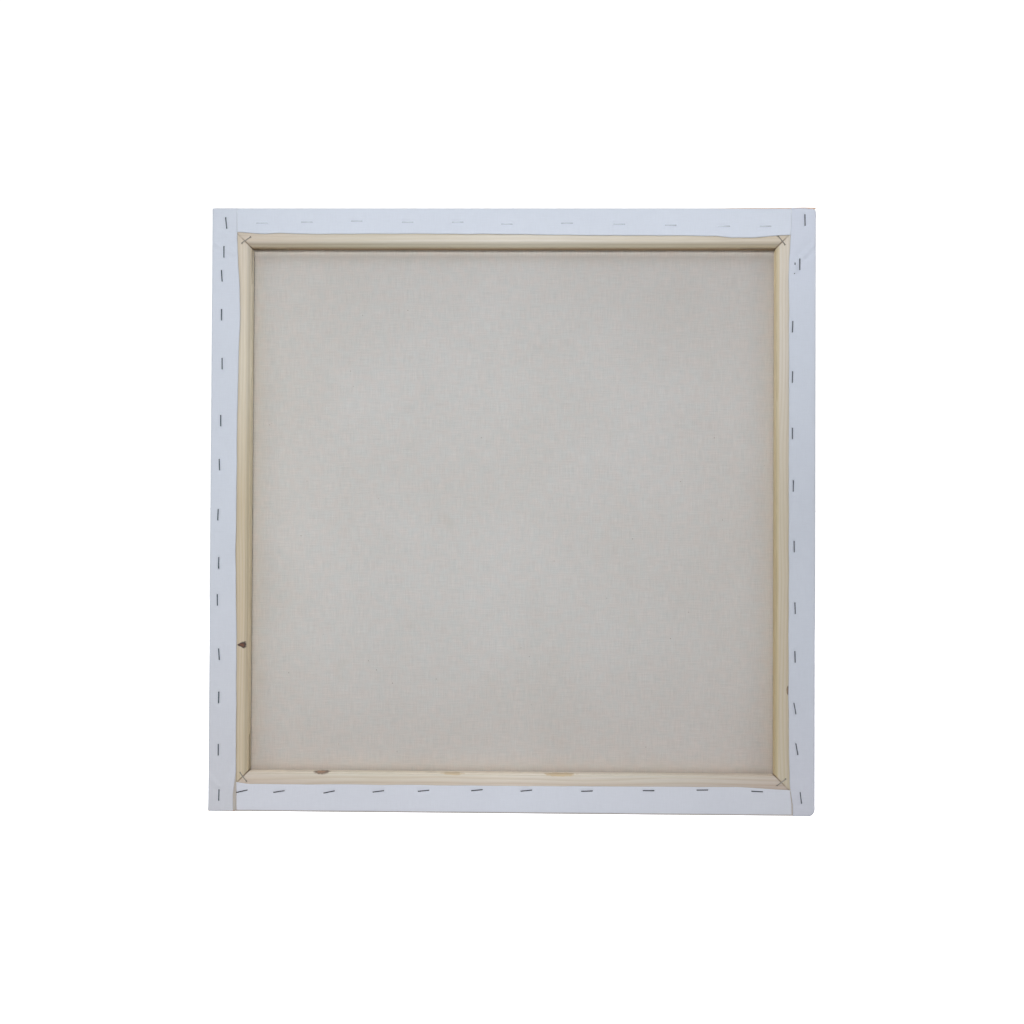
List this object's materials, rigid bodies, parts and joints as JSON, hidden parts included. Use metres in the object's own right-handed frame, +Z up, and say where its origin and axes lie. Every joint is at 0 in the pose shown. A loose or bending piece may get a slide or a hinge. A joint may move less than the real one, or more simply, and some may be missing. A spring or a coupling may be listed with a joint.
{
  "type": "stretched canvas",
  "caption": "Square artist's canvas of primed cotton, stretched over slotted pine bars with mitred corners and stapled at the back.",
  "frame": {"origin": "under the middle of the bottom edge, which the canvas stands on", "axes": "+Z up, +Y out of the stapled back, -Y out of the painted face, +X to the left as seen from the back"},
  "size_m": [0.6018, 0.0206, 0.6018],
  "materials": {
    "pine": "planed and unfinished",
    "primed_cotton": "woven cotton, primed white on its outer face and raw on its inner face",
    "staple_steel": "dull steel wire"
  },
  "bodies": {
    "root": {"stretcher_bar_top": "pine", "stretcher_bar_left": "pine", "stretcher_bar_bottom": "pine", "stretcher_bar_right": "pine", "canvas_cloth": "primed_cotton", "corner_staple_bottom_left": "staple_steel", "corner_staple_bottom_right": "staple_steel", "corner_staple_top_left": "staple_steel", "corner_staple_top_right": "staple_steel", "tack_staple_bottom_01": "staple_steel", "tack_staple_bottom_02": "staple_steel", "tack_staple_bottom_03": "staple_steel", "tack_staple_bottom_04": "staple_steel", "tack_staple_bottom_05": "staple_steel", "tack_staple_bottom_06": "staple_steel", "tack_staple_bottom_07": "staple_steel", "tack_staple_bottom_08": "staple_steel", "tack_staple_bottom_09": "staple_steel", "tack_staple_bottom_10": "staple_steel", "tack_staple_bottom_11": "staple_steel", "tack_staple_left_01": "staple_steel", "tack_staple_left_02": "staple_steel", "tack_staple_left_03": "staple_steel", "tack_staple_left_04": "staple_steel", "tack_staple_left_05": "staple_steel", "tack_staple_left_06": "staple_steel", "tack_staple_left_07": "staple_steel", "tack_staple_left_08": "staple_steel", "tack_staple_left_09": "staple_steel", "tack_staple_left_10": "staple_steel", "tack_staple_left_11": "staple_steel", "tack_staple_left_12": "staple_steel", "tack_staple_left_13": "staple_steel", "tack_staple_left_14": "staple_steel", "tack_staple_right_01": "staple_steel", "tack_staple_right_02": "staple_steel", "tack_staple_right_03": "staple_steel", "tack_staple_right_04": "staple_steel", "tack_staple_right_05": "staple_steel", "tack_staple_right_06": "staple_steel", "tack_staple_right_07": "staple_steel", "tack_staple_right_08": "staple_steel", "tack_staple_right_09": "staple_steel", "tack_staple_right_10": "staple_steel", "tack_staple_right_11": "staple_steel", "tack_staple_right_12": "staple_steel", "tack_staple_right_13": "staple_steel", "tack_staple_top_01": "staple_steel", "tack_staple_top_02": "staple_steel", "tack_staple_top_03": "staple_steel", "tack_staple_top_04": "staple_steel", "tack_staple_top_05": "staple_steel", "tack_staple_top_06": "staple_steel", "tack_staple_top_07": "staple_steel", "tack_staple_top_08": "staple_steel", "tack_staple_top_09": "staple_steel", "tack_staple_top_10": "staple_steel", "tack_staple_top_11": "staple_steel"}
  },
  "joints": []
}
